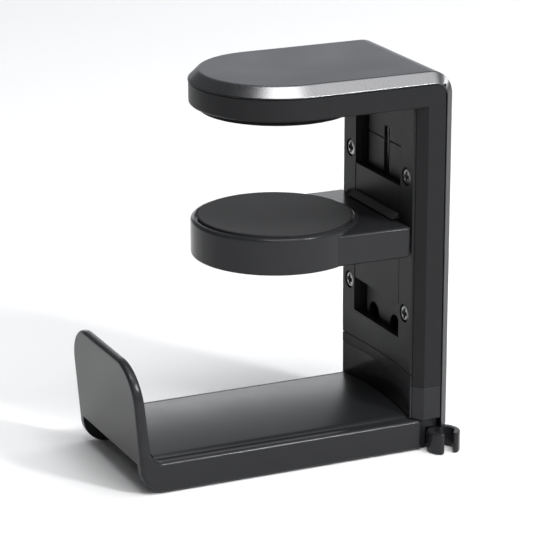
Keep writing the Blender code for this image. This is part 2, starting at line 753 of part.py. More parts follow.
def ring(name, outer, inner, low, high, sides=32):
    body = cylinder(name, outer, (0, 0, low), high - low, "Z", sides)
    cut(body, cylinder(f"{name} bore", inner, (0, 0, low - 1), high - low + 2, "Z", 24))
    smooth(body)
    return body


def build_pivot_bolt():
    length = NUT_TOP + 0.4 - BOLT_HEAD_TOP
    start = (0, 0, BOLT_HEAD_BOTTOM)
    head_length = BOLT_HEAD_TOP - BOLT_HEAD_BOTTOM
    bolt = screw("pivot_bolt", BOLT_RADIUS, BOLT_HEAD_RADIUS, head_length, length, start, "Z", cross=True)
    return finish(bolt, STEEL, hook_swivel)


def build_pivot_nut():
    across = NUT_FLATS / math.sqrt(3)
    nut = cylinder("pivot_nut", across, (0, 0, NUT_BOTTOM), NUT_TOP - NUT_BOTTOM, "Z", 6)
    cut(nut, cylinder("nut bore", BOLT_RADIUS + 0.2, (0, 0, NUT_BOTTOM - 1), 5, "Z", 24))
    return finish(nut, STEEL)


def build_thrust_washer():
    low, high = SWIVEL_Z - 1.1, SWIVEL_Z + SEAM / 2 - 0.2
    washer = ring("thrust_washer", WASHER_RADIUS, BOLT_RADIUS + 0.3, low, high)
    return finish(washer, NATURAL_NYLON, hook_swivel)


def build_bolt_cap():
    cap = cylinder("bolt_cap", BOLT_HEAD_RADIUS + 0.15, (0, 0, 0), BOLT_HEAD_BOTTOM - 0.4, "Z", 32)
    smooth(cap)
    return finish(cap, RUBBER, hook_swivel)


def build_spring_washer():
    washer = ring("spring_washer", 3.0, BOLT_RADIUS + 0.3, BOLT_HEAD_TOP + 0.2, BOLT_HEAD_TOP + 0.8)
    return finish(washer, STEEL, hook_swivel)


# ---------------------------------------------------------------- hook


def build_foot_block():
    top = SWIVEL_Z - SEAM / 2
    foot = prism("foot_block", column_outline(), FOOT_BOTTOM, top)
    pad_half = COVER_POCKET_HALF - 0.4
    add(foot, box("foot pad", (FRAME_BACK - 1, FRAME_BACK + COVER_POCKET), (-pad_half, pad_half), (11.5, top - 0.2)))
    cut(foot, cylinder("washer seat", WASHER_RADIUS + 0.25, (0, 0, SWIVEL_Z - 1.35), 3, "Z", 32))
    cut(foot, cylinder("foot bolt way", BOLT_RADIUS + 0.25, (0, 0, 9), 20, "Z", 24))
    for side in (-1, 1):
        at = (HOOK_SCREW_X, side * HOOK_SCREW_Y, FOOT_BOTTOM - 1)
        cut(foot, cylinder(f"foot pilot {side}", 1.35, at, 8.3, "Z", 16))
    cut(foot, scoop_tool("foot scoop", FOOT_BOTTOM - 1, top + 1, 8))
    return finish(foot, SATIN_BLACK, hook_swivel)


def lean(z):
    """How far the end plate leans out at a height above the rim."""
    return -(z - RIM_Z) * END_LEAN


def hook_profile():
    """Side view of the hook: tray underside, heel, leaning end plate and inner fillet."""
    heel = (END_X + HEEL_RADIUS, HEEL_RADIUS)
    inner_x = END_X + END_THICKNESS
    fillet = (inner_x + INNER_FILLET, RIM_Z + INNER_FILLET)
    top_x = END_X + lean(END_TOP)
    end_corner = (TRAY_END - TRAY_END_RADIUS, RIM_Z - TRAY_END_RADIUS)
    return [
        (TRAY_END, 0),
        *arc(heel, HEEL_RADIUS, 270, 180, 8),
        (top_x, END_TOP - 0.8),
        (top_x + 0.8, END_TOP),
        (top_x + END_THICKNESS - 0.8, END_TOP),
        (top_x + END_THICKNESS, END_TOP - 0.8),
        *arc(fillet, INNER_FILLET, 175, 270, 8),
        *arc(end_corner, TRAY_END_RADIUS, 90, 0, 4),
    ]


def end_plate_outline():
    """End view of the hook with the plate's round top corners."""
    r = END_CORNER_RADIUS
    side, high = TRAY_HALF, END_TOP
    return [
        (-side, -1),
        (side, -1),
        *arc((side - r, high - r), r, 0, 90, 10),
        *arc((-side + r, high - r), r, 90, 180, 10),
    ]


def build_hook_frame():
    hook = prism("hook_frame", hook_profile(), -TRAY_HALF, TRAY_HALF, "XZ")
    shaped = prism("end outline", end_plate_outline(), -120, 20, "YZ")
    combine(hook, shaped, "INTERSECT")
    width = (-BASE_HALF, BASE_HALF)
    add(hook, box("base block", (FRONT_X, FRAME_BACK), width, (0.05, RIM_Z + 0.05)))
    block_back = BACK_X - 0.35
    add(hook, box("clip block", (FRAME_BACK - 1, block_back), width, (0.1, FOOT_COVER_BOTTOM - GAP)))
    inside = TRAY_HALF - RIM_WIDTH
    ceiling = [
        (-125, -2),
        (-9, -2),
        (-9, DECK_BOTTOM),
        (-94, DECK_BOTTOM),
        (END_X + END_THICKNESS, 10.1),
        (-125, 10.1),
    ]
    cut(hook, prism("underside hollow", ceiling, -inside, inside, "XZ"))
    seat = (END_X + END_THICKNESS + 2.2, FRONT_X - GAP)
    cut(hook, box("saddle seat", seat, (-inside, inside), (DECK_TOP, RIM_Z + 1)))
    cut(hook, cylinder("base bolt way", BOLT_RADIUS + 0.25, (0, 0, -1), 15, "Z", 24))
    cut(hook, cylinder("bolt head seat", BOLT_HEAD_RADIUS + 0.4, (0, 0, -1), BOLT_HEAD_TOP + 2.1, "Z", 32))
    for side in (-1, 1):
        at = (HOOK_SCREW_X, side * HOOK_SCREW_Y, -1)
        cut(hook, cylinder(f"hook screw way {side}", 1.5, at, 15, "Z", 16))
        cut(hook, cylinder(f"hook screw seat {side}", 2.8, at, 5.0, "Z", 24))
    cut(hook, cylinder("clip notch", CLIP_RADIUS + GAP, (CLIP_X, CLIP_Y, -1), CLIP_HEIGHT + 1 + GAP, "Z", 40))
    cut(hook, box("clip tab slot", (-1.3, 2.75), (-28.0, -19.7), (-1, CLIP_HEIGHT + GAP)))
    cut(hook, cylinder("clip screw pilot", 1.05, (0.7, -22.0, 5), 4.6, "Z", 16))
    smooth(hook)
    return finish(hook, SATIN_BLACK, hook_swivel)


def saddle_height(y):
    inside = TRAY_HALF - RIM_WIDTH
    return SADDLE_EDGE + (SADDLE_CROWN - SADDLE_EDGE) * (1 - (y / inside) ** 2)


def build_saddle_pad():
    """The crowned seat for the headband, its end hollowed to follow the column."""
    inside = TRAY_HALF - RIM_WIDTH - GAP
    count = 14
    crown = []
    for i in range(count + 1):
        y = inside - 2 * inside * i / count
        crown.append((y, saddle_height(y)))
    outline = [(-inside, DECK_TOP + GAP), (inside, DECK_TOP + GAP), *crown]
    start = END_X + END_THICKNESS + 2.5
    pad = prism("saddle_pad", outline, start, FRONT_X - GAP, "YZ")
    smooth(pad)
    return finish(pad, SATIN_RUBBER, hook_swivel)


def build_hook_screws():
    for number, side in enumerate((-1, 1), 1):
        start = (HOOK_SCREW_X, side * HOOK_SCREW_Y, 1.9)
        finish(screw(f"hook_screw_{number}", 1.1, 2.4, 1.8, 13.6, start, "Z", cross=True), STEEL, hook_swivel)


def clip_outline():
    """Plan of the open ring, with round tips at its mouth."""
    middle = (CLIP_RADIUS + CLIP_BORE) / 2
    tip = (CLIP_RADIUS - CLIP_BORE) / 2
    mouth = math.degrees(math.asin((CLIP_GAP / 2 + tip) / middle))
    first, last = 270 + mouth, 270 - mouth + 360
    outer = arc((CLIP_X, CLIP_Y), CLIP_RADIUS, first, last, 32)
    inner = arc((CLIP_X, CLIP_Y), CLIP_BORE, last, first, 24)

    def tip_points(angle, start, end):
        turn = math.radians(angle)
        centre = (CLIP_X + middle * math.cos(turn), CLIP_Y + middle * math.sin(turn))
        return arc(centre, tip, start, end, 6)[1:-1]

    return [
        *outer,
        *tip_points(last, last, last + 180),
        *inner,
        *tip_points(first, first + 180, first + 360),
    ]


def build_cable_clip():
    clip = prism("cable_clip", clip_outline(), 0, CLIP_HEIGHT)
    add(clip, box("clip tab", (-1.0, 2.45), (-26.7, -20.0), (1.6, CLIP_HEIGHT - 1.2)))
    cut(clip, cylinder("tab hole", 1.2, (0.7, -22.0, 0), 8, "Z", 16))
    smooth(clip)
    return finish(clip, SATIN_BLACK, hook_swivel)


def build_clip_screw():
    piece = screw("clip_screw", 0.85, 1.3, 0.9, 8.2, (0.7, -22.0, 0.5), "Z")
    return finish(piece, STEEL, hook_swivel)


# ---------------------------------------------------------------- model


for old in list(bpy.data.objects):
    bpy.data.objects.remove(old)

parts = new_collection("headphone_hook")
tools = new_collection("cutters")
tools.hide_render = True

ALUMINIUM = material("satin aluminium", (0.52, 0.53, 0.55), 0.32, 1.0)
BLACK_PLASTIC = material("black plastic", (0.02, 0.021, 0.022), 0.5)
SATIN_BLACK = material("satin black plastic", (0.028, 0.029, 0.031), 0.42)
RUBBER = material("black rubber", (0.03, 0.03, 0.03), 0.75)
SATIN_RUBBER = material("saddle rubber", (0.035, 0.036, 0.038), 0.45)
STEEL = material("bright steel", (0.55, 0.55, 0.56), 0.3, 1.0)
DARK_STEEL = material("blackened steel", (0.04, 0.04, 0.042), 0.4, 0.8)
NATURAL_NYLON = material("natural nylon", (0.75, 0.74, 0.68), 0.5)

jaw_slide = joint_empty("jaw_slide", JAW_PAD_TOP)
hook_swivel = joint_empty("hook_swivel", SWIVEL_Z)

build_top_back_cover()
build_frame_body()
build_front_panel()
build_upper_jaw_pad()
build_panel_screws()
build_cover_screws()
build_guide_plate()
build_guide_screws()
build_guide_rod("left_guide_rod", 1)
build_guide_rod("right_guide_rod", -1)
build_spring("left_spring", 1)
build_spring("right_spring", -1)
build_pivot_nut()

build_jaw_arm()
build_jaw_pad()
build_edge_bumper()
build_carriage_plate()
build_slider_shoe()
build_carriage_screws()
build_arm_screws()

build_pivot_bolt()
build_thrust_washer()
build_spring_washer()
build_bolt_cap()
build_foot_block()
build_foot_back_cover()
build_hook_frame()
build_saddle_pad()
build_hook_screws()
build_cable_clip()
build_clip_screw()
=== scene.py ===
"""Looks for the headphone hook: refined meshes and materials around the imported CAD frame.

Lengths are in millimetres in the frame's axes and become metres where a mesh is made.
"""

import math

import bmesh
import bpy
from mathutils import Matrix, Vector


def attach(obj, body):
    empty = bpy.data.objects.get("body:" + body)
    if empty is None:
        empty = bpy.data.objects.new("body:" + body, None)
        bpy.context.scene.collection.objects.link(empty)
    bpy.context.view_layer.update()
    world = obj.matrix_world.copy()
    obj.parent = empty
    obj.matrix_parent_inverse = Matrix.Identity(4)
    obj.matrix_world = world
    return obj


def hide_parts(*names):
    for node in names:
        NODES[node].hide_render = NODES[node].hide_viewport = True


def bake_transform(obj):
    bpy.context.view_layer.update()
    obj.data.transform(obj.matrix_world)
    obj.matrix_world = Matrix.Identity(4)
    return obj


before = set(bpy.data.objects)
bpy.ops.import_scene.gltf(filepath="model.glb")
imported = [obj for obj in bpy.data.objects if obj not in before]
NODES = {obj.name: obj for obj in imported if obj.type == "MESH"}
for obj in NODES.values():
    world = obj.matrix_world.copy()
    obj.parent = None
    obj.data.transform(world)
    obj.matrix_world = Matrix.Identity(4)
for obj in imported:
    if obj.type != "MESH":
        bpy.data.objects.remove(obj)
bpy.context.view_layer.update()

MM = 0.001
scene = bpy.context.scene

# ---------------------------------------------------------------- camera, light, floor

CAMERA_AT = (-408.4, -787.7, 335.7)
CAMERA_HEADING = 24.589  # degrees from +Y towards +X
CAMERA_PITCH = 17.502
CAMERA_LENS = 184.48
CENTRE = (-0.05, 0, 0.065)  # metres, the middle of the part


def make_camera():
    data = bpy.data.cameras.new("camera")
    data.sensor_width = 36
    data.lens = CAMERA_LENS
    data.clip_start, data.clip_end = 0.05, 50
    camera = bpy.data.objects.new("camera", data)
    scene.collection.objects.link(camera)
    camera.location = Vector(CAMERA_AT) * MM
    turn = (math.radians(90 - CAMERA_PITCH), 0, math.radians(-CAMERA_HEADING))
    camera.rotation_euler = turn
    scene.camera = camera


def area_light(name, at, size, power):
    """A rectangular softbox in metres and watts, aimed at the middle of the part."""
    data = bpy.data.lights.new(name, "AREA")
    data.shape = "RECTANGLE"
    data.size, data.size_y = size
    data.energy = power
    light = bpy.data.objects.new(name, data)
    scene.collection.objects.link(light)
    light.location = at
    light.rotation_euler = (Vector(CENTRE) - Vector(at)).to_track_quat("-Z", "Y").to_euler()


HORIZON_SKY = (0.80, 0.82, 0.86, 1)
MIDDLE_SKY = (0.5, 0.51, 0.53, 1)
TOP_SKY = (0.40, 0.41, 0.43, 1)
MIDDLE_SKY_HEIGHT = 0.35  # as the sine of the elevation
DIM_SIDE_X, FULL_SIDE_X = -0.7, 0.3  # the sky brightens between these parts of the direction
DIM_SIDE_SHARE = 0.15


def make_world():
    """A studio that is pale at the horizon, dimmer overhead and dark towards -X."""
    world = bpy.data.worlds.new("studio")
    scene.world = world
    world.use_nodes = True
    nodes, links = world.node_tree.nodes, world.node_tree.links
    nodes.clear()
    where = nodes.new("ShaderNodeTexCoord")
    split = nodes.new("ShaderNodeSeparateXYZ")
    ramp = nodes.new("ShaderNodeValToRGB")
    side = nodes.new("ShaderNodeMapRange")
    side.inputs["From Min"].default_value = DIM_SIDE_X
    side.inputs["From Max"].default_value = FULL_SIDE_X
    side.inputs["To Min"].default_value = DIM_SIDE_SHARE
    side.inputs["To Max"].default_value = 1.0
    shade = nodes.new("ShaderNodeBackground")
    out = nodes.new("ShaderNodeOutputWorld")
    links.new(where.outputs["Generated"], split.inputs[0])
    links.new(split.outputs["Z"], ramp.inputs[0])
    links.new(split.outputs["X"], side.inputs["Value"])
    links.new(ramp.outputs["Color"], shade.inputs["Color"])
    links.new(side.outputs["Result"], shade.inputs["Strength"])
    links.new(shade.outputs[0], out.inputs[0])
    steps = ramp.color_ramp.elements
    steps[0].position, steps[0].color = 0.0, HORIZON_SKY
    steps[1].position, steps[1].color = 1.0, TOP_SKY
    steps.new(MIDDLE_SKY_HEIGHT).color = MIDDLE_SKY


FLOOR_COLOUR = (0.86, 0.86, 0.86, 1)
FLOOR_SIZE, FLOOR_Z = 40, -0.0002  # metres; just below the part, so the two never share a plane


def make_floor():
    bpy.ops.mesh.primitive_plane_add(size=FLOOR_SIZE, location=(0, 0, FLOOR_Z))
    floor = bpy.context.object
    floor.name = "floor"
    made = bpy.data.materials.new("pale floor")
    made.use_nodes = True
    shader = made.node_tree.nodes["Principled BSDF"]
    shader.inputs["Base Color"].default_value = FLOOR_COLOUR
    shader.inputs["Roughness"].default_value = 0.9
    shader.inputs["Specular IOR Level"].default_value = 0.1
    floor.data.materials.append(made)


make_camera()
make_world()
make_floor()
# Softboxes: name, place in metres, width and height in metres, power in watts.
LIGHTS = (
    ("key", (-0.12, -0.36, 1.05), (0.62, 0.3), 4.6),
    ("front", (0.72, -1.36, 1.2), (0.2, 0.42), 19),
    ("fill", (-0.3, -1.7, 1.2), (1.3, 1.3), 9),
    ("horizon", (0.58, 1.4, 0.33), (1.3, 0.42), 2.1),
    ("rim right", (1.1, 0.25, 0.42), (0.2, 0.2), 2.6),
    ("overhead", (0.6, -0.4, 2.4), (2.2, 2.2), 28),
)
for light in LIGHTS:
    area_light(*light)
scene.view_settings.view_transform = "Standard"

# ---------------------------------------------------------------- materials

DRIFT_SCALE = 45.0
GRAIN_DEPTH = 0.00005  # metres


def shader_material(
    name,
    colour,
    roughness,
    metallic=0.0,
    specular=0.5,
    grain=2600.0,
    bump=0.02,
    mottle=0.06,
    rough_spread=0.05,
    glancing=(1, 1, 1),
):
    """A procedural finish: fine grain as bump, and slow drifts of colour and roughness.

    glancing tints a metal's reflection at shallow angles.
    """
    made = bpy.data.materials.new(name)
    made.use_nodes = True
    nodes, links = made.node_tree.nodes, made.node_tree.links
    shader = nodes["Principled BSDF"]
    shader.inputs["Metallic"].default_value = metallic
    shader.inputs["Specular IOR Level"].default_value = specular
    shader.inputs["Specular Tint"].default_value = (*glancing, 1)
    where = nodes.new("ShaderNodeTexCoord")

    def noise(size, detail):
        node = nodes.new("ShaderNodeTexNoise")
        node.inputs["Scale"].default_value = size
        node.inputs["Detail"].default_value = detail
        links.new(where.outputs["Object"], node.inputs["Vector"])
        return node.outputs["Fac"]

    slow = noise(DRIFT_SCALE, 4.0)
    fine = noise(grain, 3.0)
    tint = nodes.new("ShaderNodeMapRange")
    tint.inputs["To Min"].default_value = 1.0 - mottle
    tint.inputs["To Max"].default_value = 1.0 + mottle
    links.new(slow, tint.inputs["Value"])
    mixed = nodes.new("ShaderNodeVectorMath")
    mixed.operation = "SCALE"
    mixed.inputs[0].default_value = colour
    links.new(tint.outputs["Result"], mixed.inputs["Scale"])
    links.new(mixed.outputs["Vector"], shader.inputs["Base Color"])
    blend = nodes.new("ShaderNodeMath")
    blend.operation = "ADD"
    links.new(slow, blend.inputs[0])
    links.new(fine, blend.inputs[1])
    rough = nodes.new("ShaderNodeMapRange")
    rough.inputs["From Min"].default_value = 0.6
    rough.inputs["From Max"].default_value = 1.4
    rough.inputs["To Min"].default_value = roughness - rough_spread
    rough.inputs["To Max"].default_value = roughness + rough_spread
    links.new(blend.outputs["Value"], rough.inputs["Value"])
    links.new(rough.outputs["Result"], shader.inputs["Roughness"])
    relief = nodes.new("ShaderNodeBump")
    relief.inputs["Strength"].default_value = bump
    relief.inputs["Distance"].default_value = GRAIN_DEPTH
    links.new(fine, relief.inputs["Height"])
    links.new(relief.outputs["Normal"], shader.inputs["Normal"])
    return made


METAL_FACE = shader_material(
    "satin anodised face",
    (0.066, 0.067, 0.0705),
    0.34,
    metallic=1.0,
    bump=0.12,
    grain=3200,
    glancing=(0.72, 0.725, 0.74),
)
METAL_EDGE = shader_material(
    "bright cut edge",
    (0.19, 0.19, 0.193),
    0.29,
    metallic=1.0,
    bump=0.05,
    mottle=0.03,
    glancing=(0.42, 0.42, 0.42),
)
BODY = shader_material("moulded body", (0.015, 0.0151, 0.016), 0.4, specular=0.14, bump=0.25)
SATIN = shader_material("satin body", (0.019, 0.0193, 0.0208), 0.2, specular=0.2, bump=0.12)
# Painted shade: the upper pad takes a darker copy of the clamp rubber for the shade under the jaw,
# though both pads are the same rubber.
SHADE_DARKENED_PAD_RUBBER = shader_material(
    "upper pad rubber with painted shade", (0.004, 0.004, 0.0042), 0.7, specular=0.1, bump=0.4, grain=1900
)
RUBBER = shader_material(
    "clamp rubber", (0.017, 0.017, 0.018), 0.66, specular=0.4, bump=0.5, grain=1900
)
SADDLE = shader_material(
    "saddle rubber", (0.013, 0.0135, 0.015), 0.33, specular=0.58, bump=0.08, grain=2200
)
STEEL = shader_material("zinc steel", (0.42, 0.42, 0.425), 0.4, metallic=1.0, bump=0.06, mottle=0.1)
BLACK_STEEL = shader_material(
    "black oxide steel", (0.009, 0.009, 0.0095), 0.5, metallic=0.3, bump=0.2, mottle=0.2
)
NYLON = shader_material("natural nylon", (0.7, 0.69, 0.63), 0.5, bump=0.1)

CAD_FINISH = {
    "guide_plate": BLACK_STEEL,
    "slider_shoe": BODY,
    "thrust_washer": NYLON,
    "bolt_cap": RUBBER,
}

# ---------------------------------------------------------------- mesh helpers

MERGE_DISTANCE = 2e-6  # metres


def new_object(name, work):
    mesh = bpy.data.meshes.new(name)
    work.to_mesh(mesh)
    work.free()
    obj = bpy.data.objects.new(name, mesh)
    scene.collection.objects.link(obj)
    return obj


PLANES = {
    "XY": lambda u, v, w: (u, v, w),
    "XZ": lambda u, v, w: (u, w, v),
    "YZ": lambda u, v, w: (w, u, v),
}


def prism(name, points, low, high, plane="XY"):
    """An outline in a plane, made solid between two heights along the plane's normal."""
    work = bmesh.new()
    lift = PLANES[plane]
    rings = []
    for height in (low, high):
        rings.append([work.verts.new(Vector(lift(u, v, height)) * MM) for u, v in points])
    count = len(points)
    for i in range(count):
        j = (i + 1) % count
        work.faces.new((rings[0][i], rings[0][j], rings[1][j], rings[1][i]))
    work.faces.new(rings[0])
    work.faces.new(rings[1])
    bmesh.ops.recalc_face_normals(work, faces=work.faces)
    return new_object(name, work)


def box(name, x, y, z):
    return prism(name, [(x[0], y[0]), (x[1], y[0]), (x[1], y[1]), (x[0], y[1])], *z)


def arc(centre, radius, start, end, count):
    points = []
    for i in range(count + 1):
        angle = math.radians(start + (end - start) * i / count)
        points.append((centre[0] + radius * math.cos(angle), centre[1] + radius * math.sin(angle)))
    return points


def lathe(name, profile, centre, sides=96, axis="Z"):
    """A closed turned solid from (radius, height) points that start and end on the axis.

    With axis "X" a height is measured along +X.
    """
    work = bmesh.new()
    rings = []
    for radius, height in profile:
        if radius < 1e-6:
            rings.append([work.verts.new((0, 0, height * MM))])
            continue
        ring = []
        for i in range(sides):
            angle = 2 * math.pi * i / sides
            point = Vector((radius * math.cos(angle), radius * math.sin(angle), height))
            ring.append(work.verts.new(point * MM))
        rings.append(ring)
    for lower, upper in zip(rings, rings[1:]):
        for i in range(sides):
            j = (i + 1) % sides
            below = [lower[i % len(lower)], lower[j % len(lower)]]
            above = [upper[j % len(upper)], upper[i % len(upper)]]
            unique = list(dict.fromkeys(below + above))
            if len(unique) > 2:
                work.faces.new(unique)
    bmesh.ops.recalc_face_normals(work, faces=work.faces)
    if axis == "X":
        bmesh.ops.transform(work, matrix=Matrix.Rotation(math.pi / 2, 4, "Y"), verts=work.verts)
    bmesh.ops.translate(work, vec=Vector(centre) * MM, verts=work.verts)
    return new_object(name, work)


def settle(obj):
    """Turns an object's modifiers into its own mesh."""
    bpy.context.view_layer.update()
    evaluated = obj.evaluated_get(bpy.context.evaluated_depsgraph_get())
    mesh = bpy.data.meshes.new_from_object(evaluated)
    obj.modifiers.clear()
    old = obj.data
    obj.data = mesh
    bpy.data.meshes.remove(old)
    return obj


def boolean(obj, operation, *others):
    for other in others:
        modifier = obj.modifiers.new(operation, "BOOLEAN")
        modifier.operation = operation
        modifier.solver = "EXACT"
        modifier.object = other
        settle(obj)
        bpy.data.objects.remove(other)
    return obj


def cut(obj, *others):
    return boolean(obj, "DIFFERENCE", *others)


def clean(obj, angle=0.5):
    """Merges doubled points and flat neighbouring faces, so that edges round evenly."""
    work = bmesh.new()
    work.from_mesh(obj.data)
    bmesh.ops.remove_doubles(work, verts=work.verts, dist=MERGE_DISTANCE)
    bmesh.ops.dissolve_degenerate(work, edges=work.edges, dist=MERGE_DISTANCE)
    limit = math.radians(angle)
    bmesh.ops.dissolve_limit(work, angle_limit=limit, verts=work.verts, edges=work.edges)
    work.to_mesh(obj.data)
    work.free()
    return obj


def round_edges(obj, width, segments=3, angle=32, chosen=None):
    """Rounds the edges that turn more sharply than an angle.

    chosen(middle point in millimetres) gives an edge's share of the width.
    """
    work = bmesh.new()
    work.from_mesh(obj.data)
    layer = work.edges.layers.float.new("bevel_weight_edge")
    for edge in work.edges:
        if len(edge.link_faces) == 2 and edge.calc_face_angle(0) > math.radians(angle):
            middle = (edge.verts[0].co + edge.verts[1].co) / 2 / MM
            edge[layer] = 1.0 if chosen is None else chosen(middle)
    work.to_mesh(obj.data)
    work.free()
    modifier = obj.modifiers.new("round", "BEVEL")
    modifier.limit_method = "WEIGHT"
    modifier.width = width * MM
    modifier.segments = segments
    modifier.use_clamp_overlap = True
    modifier.miter_outer = "MITER_ARC"
    return settle(obj)


def smooth(obj, angle=40):
    obj.data.shade_smooth()
    obj.data.set_sharp_from_angle(angle=math.radians(angle))
    weighted = obj.modifiers.new("shading", "WEIGHTED_NORMAL")
    weighted.keep_sharp = True
    weighted.weight = 60
    return settle(obj)


def place(obj, body, made, slot, *nodes):
    """Finishes a piece: its materials, its body, and the CAD nodes that it stands for.

    With a tuple of materials, the faces keep the index that they have.
    """
    several = isinstance(made, tuple)
    faces = [face.material_index if several else 0 for face in obj.data.polygons]
    obj.data.materials.clear()
    for one in made if several else (made,):
        obj.data.materials.append(one)
    obj.data.polygons.foreach_set("material_index", faces)
    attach(obj, body)
    if nodes:
        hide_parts(*nodes)
    return obj


# ---------------------------------------------------------------- dimensions of the shown shapes

# The whole, and the metal cover with its bevel, its corner and the centre of its nose.
FRONT, BACK = -6.95, 6.95
HEIGHT = 130.0
HALF = 29.0
BEVEL = 3.3
LIP = 0.3
CORNER = 8.0
NOSE = -44.4
FOOT_COVER_LOW = 7.3
SEAM_LOW, SEAM_HIGH = 22.3, 22.4

# The upper jaw and the column behind its front panel.
FRAME_HALF = 28.8
FRAME_BACK = 3.05
FRAME_TOP = 126.1
JAW_Z = 118.7
COLUMN_FRONT = -6.05
CHAMFER = 2.9
PANEL_HALF, PANEL_BACK, PANEL_LOW = 25.5, -4.65, 26.4
RECESS_HALF = 25.8
CHANNEL_HALF = 17.2
CHANNEL_LOW, CHANNEL_HIGH = 34, 124
WINDOW_HALF, WINDOW_FLOOR = 16.7, 36.9
PANEL_SCREW_Y, PANEL_SCREW_HEIGHTS = 20.6, (46.7, 94.0)
SCREW_RADIUS = 2.8

# The hollow at the column's foot.
SCOOP_TOP, SCOOP_FOOT = 36.5, 10.9
SCOOP_DEPTH, SCOOP_HALF = 3.2, 26.4

# The two rods and the springs on them.
ROD_X, ROD_Y = 0.75, 7.6
ROD_WAY_RADIUS = 1.45
SPRING_LOW, SPRING_HIGH = 34.6, 57.4
SPRING_TURNS = 12
COIL_RADIUS, WIRE_RADIUS = 2.3, 0.3

# The pads and the lower jaw.
PAD_RADIUS = 25.6
PAD_CLEARANCE = 0.3
UPPER_PAD_LOW, UPPER_PAD_HIGH = 116.8, 119.6
LOWER_PAD_LOW, LOWER_PAD_HIGH = 79.2, 80.8
JAW_CENTRE = -45.0
JAW_RADIUS = 27.9
JAW_LOW, JAW_RIM = 67.6, 80.1
JAW_TOP_EDGE, JAW_BOTTOM_EDGE = 1.25, 0.7
JAW_FLOOR = 78.9
GROOVE_RADIUS = 26.35
ARM_HALF, ARM_TOP, ARM_BACK = 25.6, 78.2, -7.25
ARM_EDGE = 1.3
CARRIAGE_HALF = 16.4

# The turning foot with its tray, end plate and clip.
FOOT_LOW = 10.9
TRAY_HALF = 27.9
TRAY_END = -3.0
BASE_HALF = 26.6
RIM_Z = 10.5
RIM_WIDTH = 3.5
HEEL_RADIUS, FILLET_RADIUS, TRAY_END_RADIUS = 9, 5, 1.6
END_X = -104.8
END_THICK = 3.3
END_TOP = 43.5
END_LEAN = 0.09
END_CORNER = 13.5
BOLT_WAY_RADIUS = 1.75
CLIP_X, CLIP_Y = 3.55, -30.6
CLIP_OUTER, CLIP_BORE, CLIP_MOUTH = 5.6, 3.6, 3.4
CLIP_HEIGHT = 7
CLIP_NOTCH_RADIUS, CLIP_NOTCH_TOP = 5.9, 7.3


def d_outline(radius, nose_x, back_x, count=72):
    return [(back_x, -radius), *arc((nose_x, 0), radius, 270, 90, count), (back_x, radius)]


def plug(radius, low, high):
    """The profile of a plain round cutter."""
    return [(0, low), (radius, low), (radius, high), (0, high)]


def stepped_plug(wide, narrow, low, step, high):
    """The profile of a round cutter that is wide below a step and narrow above it."""
    return [(0, low), (wide, low), (wide, step), (narrow, step), (narrow, high), (0, high)]


def column_outline():
    half = [
        (FRAME_BACK, FRAME_HALF),
        (COLUMN_FRONT + CHAMFER, FRAME_HALF),
        (COLUMN_FRONT, RECESS_HALF),
        (COLUMN_FRONT, PANEL_HALF),
        (FRONT, PANEL_HALF),
    ]
    return half + [(x, -y) for x, y in reversed(half)]


def scoop_depth(y, z):
    across = max(1 - (y / SCOOP_HALF) ** 2, 0.0)
    height = min(max((z - SCOOP_FOOT) / (SCOOP_TOP - SCOOP_FOOT), 0.0), 1.0)
    return SCOOP_DEPTH * across * (1 - height**1.5)


SCOOP_SPARE = 0.03  # keeps the cutter clear of the front face where the hollow runs out


def scoop_tool(low, high, rows=28, columns=48):
    """A cutter whose back face is the hollow at the column's foot."""
    work = bmesh.new()
    fronts, backs = [], []
    for row in range(rows + 1):
        z = low + (high - low) * row / rows
        back, front = [], []
        for column in range(columns + 1):
            y = (column / columns * 2 - 1) * (SCOOP_HALF - 0.1)
            x = FRONT + scoop_depth(y, z) - SCOOP_SPARE
            back.append(work.verts.new(Vector((x, y, z)) * MM))
            front.append(work.verts.new(Vector((FRONT - 5, y, z)) * MM))
        backs.append(back)
        fronts.append(front)
    for grid in (backs, fronts):
        for r in range(rows):
            for c in range(columns):
                work.faces.new((grid[r][c], grid[r][c + 1], grid[r + 1][c + 1], grid[r + 1][c]))
    for r in range(rows):
        for c in (0, columns):
            work.faces.new((backs[r][c], backs[r + 1][c], fronts[r + 1][c], fronts[r][c]))
    for c in range(columns):
        for r in (0, rows):
            work.faces.new((backs[r][c], backs[r][c + 1], fronts[r][c + 1], fronts[r][c]))
    bmesh.ops.recalc_face_normals(work, faces=work.faces)
    return new_object("scoop", work)


# ---------------------------------------------------------------- metal cover


LOWER_EDGE, UPPER_EDGE = 0.22, 0.5  # how far the roundings of the bevel's two edges reach


def rounded_section(bevel, lip):
    """The cover's rim as (inset, depth, is_bevel) points with its two edges rounded."""
    points = [(0.0, bevel + lip, False)]
    run = math.tan(math.radians(22.5))
    radius, centre = LOWER_EDGE / run, (LOWER_EDGE / run, bevel + LOWER_EDGE)
    for i in range(5):
        turn = math.radians(45 * i / 4)
        inset, depth = centre[0] - radius * math.cos(turn), centre[1] - radius * math.sin(turn)
        points.append((inset, depth, i > 1))
    radius, centre = UPPER_EDGE / run, (bevel + UPPER_EDGE, UPPER_EDGE / run)
    for i in range(7):
        turn = math.radians(45 + 45 * i / 6)
        inset, depth = centre[0] - radius * math.cos(turn), centre[1] - radius * math.sin(turn)
        points.append((inset, depth, i < 4))
    return points


